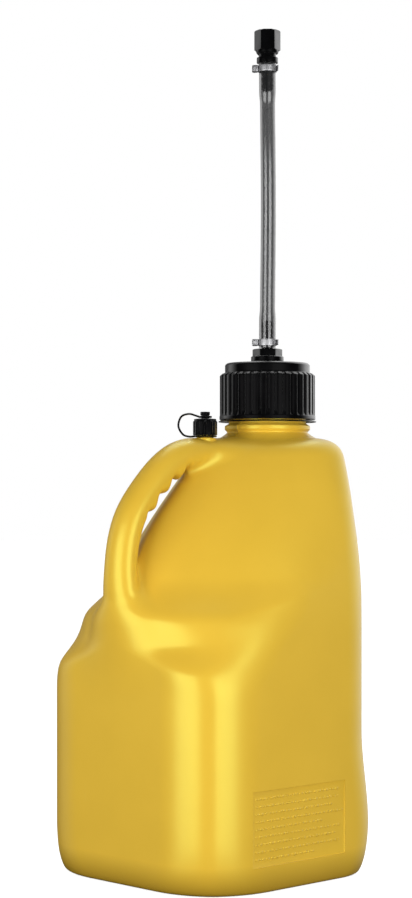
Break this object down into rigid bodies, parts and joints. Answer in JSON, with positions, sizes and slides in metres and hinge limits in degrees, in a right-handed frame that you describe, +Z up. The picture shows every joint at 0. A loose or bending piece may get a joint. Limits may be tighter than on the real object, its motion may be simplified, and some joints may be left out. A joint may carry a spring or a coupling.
{
  "type": "utility jug",
  "caption": "Square plastic utility jug with an integral handle, ribbed screw cap, clear filler hose with an end cap, and a tethered vent cap.",
  "frame": {"origin": "on the ground under the middle of the jug's square base", "axes": "+Z up along the jug, +X from the handle towards the neck, the two side faces at -Y and +Y"},
  "size_m": [0.2781, 0.266, 0.8926],
  "materials": {
    "yellow_polyethylene": "satin moulded polyethylene",
    "black_nylon": "semi-gloss moulded nylon",
    "black_rubber": "matt rubber",
    "zinc_steel": "zinc-plated spring steel",
    "clear_vinyl": "clear flexible vinyl"
  },
  "bodies": {
    "jug": {"container_body": "yellow_polyethylene", "retaining_ring": "black_nylon", "vent_tether": "black_nylon"},
    "cap_seal": {"cap_gasket": "black_rubber"},
    "cap_assembly": {"screw_cap": "black_nylon", "adapter_gasket": "black_rubber", "hose_adapter": "black_nylon", "adapter_lock_nut": "black_nylon", "hose": "clear_vinyl", "lower_clamp_band": "zinc_steel", "lower_clamp_housing": "zinc_steel"},
    "lower_screw": {"lower_clamp_screw": "zinc_steel"},
    "hose_end": {"hose_tip_fitting": "black_nylon", "upper_clamp_band": "zinc_steel", "upper_clamp_housing": "zinc_steel"},
    "upper_screw": {"upper_clamp_screw": "zinc_steel"},
    "end_seal": {"end_cap_seal": "black_rubber"},
    "end_cap": {"hose_end_cap": "black_nylon"},
    "vent_seal": {"vent_cap_gasket": "black_rubber"},
    "vent_lid": {"vent_cap": "black_nylon"}
  },
  "joints": [
    {"name": "cap_rise", "type": "slide", "parent": "jug", "child": "cap_seal", "axis": [0, 0, 1], "range_m": [0, 0.06]},
    {"name": "cap_turn", "type": "hinge", "parent": "cap_seal", "child": "cap_assembly", "pos_m": [0.083, 0, 0.4736], "axis": [0, 0, 1], "range_deg": [0, 3600]},
    {"name": "lower_clamp_screw_turn", "type": "hinge", "parent": "cap_assembly", "child": "lower_screw", "pos_m": [0.07322, 0.00945, 0.557], "axis": [-0.6947, -0.7193, 0], "continuous": true},
    {"name": "hose_bend", "type": "hinge", "parent": "cap_assembly", "child": "hose_end", "pos_m": [0.083, 0, 0.704], "axis": [0, 1, 0], "range_deg": [-100, 100], "deforming": ["hose"]},
    {"name": "upper_clamp_screw_turn", "type": "hinge", "parent": "hose_end", "child": "upper_screw", "pos_m": [0.07322, 0.00945, 0.852], "axis": [-0.6947, -0.7193, 0], "continuous": true},
    {"name": "end_cap_rise", "type": "slide", "parent": "hose_end", "child": "end_seal", "axis": [0, 0, 1], "range_m": [0, 0.024]},
    {"name": "end_cap_turn", "type": "hinge", "parent": "end_seal", "child": "end_cap", "pos_m": [0.083, 0, 0.8683], "axis": [0, 0, 1], "range_deg": [0, 2880]},
    {"name": "vent_cap_rise", "type": "slide", "parent": "jug", "child": "vent_seal", "axis": [0, 0, 1], "range_m": [0, 0.021], "deforming": ["vent_tether"]},
    {"name": "vent_cap_turn", "type": "hinge", "parent": "vent_seal", "child": "vent_lid", "pos_m": [-0.01, 0, 0.4554], "axis": [0, 0, 1], "range_deg": [0, 2520]}
  ],
  "couplings": [
    {"joint": "cap_rise", "follows": "cap_turn", "m_per_rad": 0.00095493},
    {"joint": "end_cap_rise", "follows": "end_cap_turn", "m_per_rad": 0.00047746},
    {"joint": "vent_cap_rise", "follows": "vent_cap_turn", "m_per_rad": 0.00047746}
  ]
}
